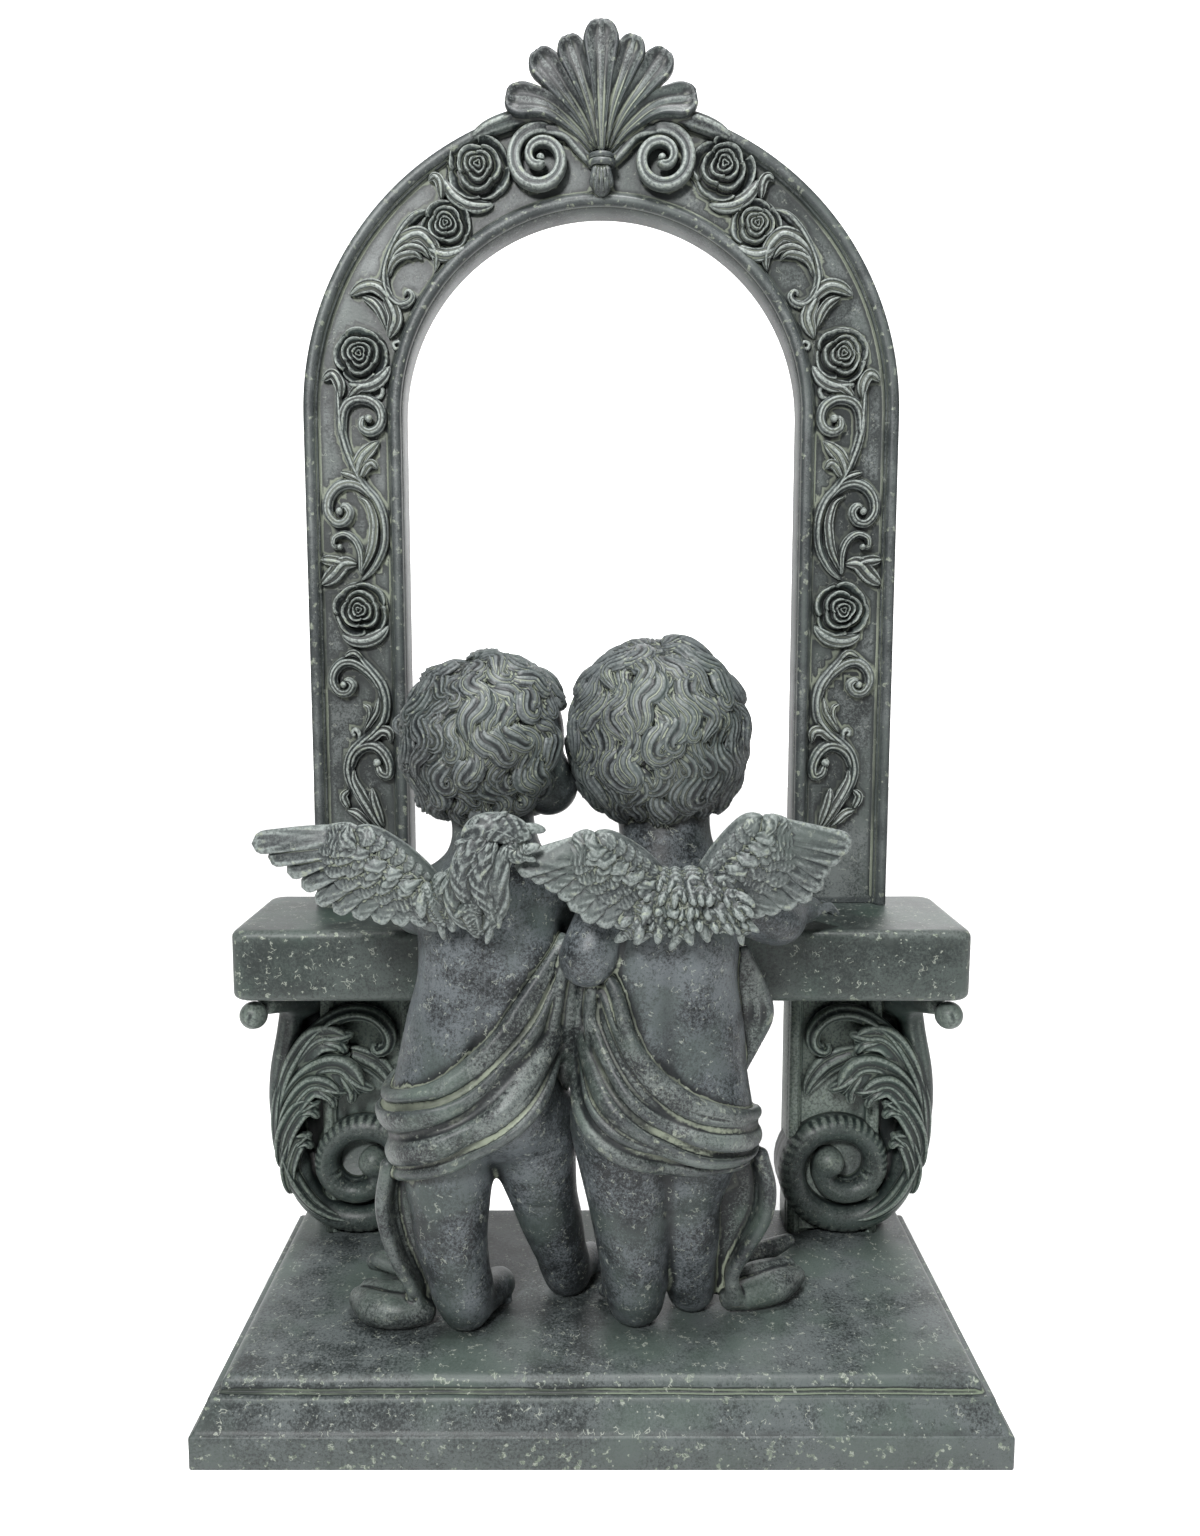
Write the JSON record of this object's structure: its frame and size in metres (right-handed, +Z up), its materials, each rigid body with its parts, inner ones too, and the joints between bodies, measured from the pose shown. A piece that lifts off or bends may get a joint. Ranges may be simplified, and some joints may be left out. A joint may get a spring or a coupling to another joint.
{
  "type": "cherub garden statue",
  "caption": "Garden statue of two winged cherubs leaning on a bench before a rose-carved arched frame, on a moulded plinth, in a dark aged stone finish.",
  "frame": {"origin": "centre of the plinth's underside", "axes": "+Z up along the height, +X to the viewer's right with the cherubs' backs to the viewer, +Y away from the viewer through the arch"},
  "size_m": [0.506, 0.2496, 0.92],
  "materials": {
    "plinth": "painted cast resin, dark slate with a pale wash in the hollows",
    "bench": "painted cast resin, dark slate with a pale wash in the hollows",
    "bracket_left": "painted cast resin, dark slate with a pale wash in the hollows",
    "bracket_right": "painted cast resin, dark slate with a pale wash in the hollows",
    "arch_frame": "painted cast resin, dark slate with a pale wash in the hollows",
    "cherub_left": "painted cast resin, dark slate with a pale wash in the hollows",
    "cherub_right": "painted cast resin, dark slate with a pale wash in the hollows"
  },
  "bodies": {
    "root": {"plinth": "plinth", "bench": "bench", "bracket_left": "bracket_left", "bracket_right": "bracket_right", "arch_frame": "arch_frame", "cherub_left": "cherub_left", "cherub_right": "cherub_right"}
  },
  "joints": []
}
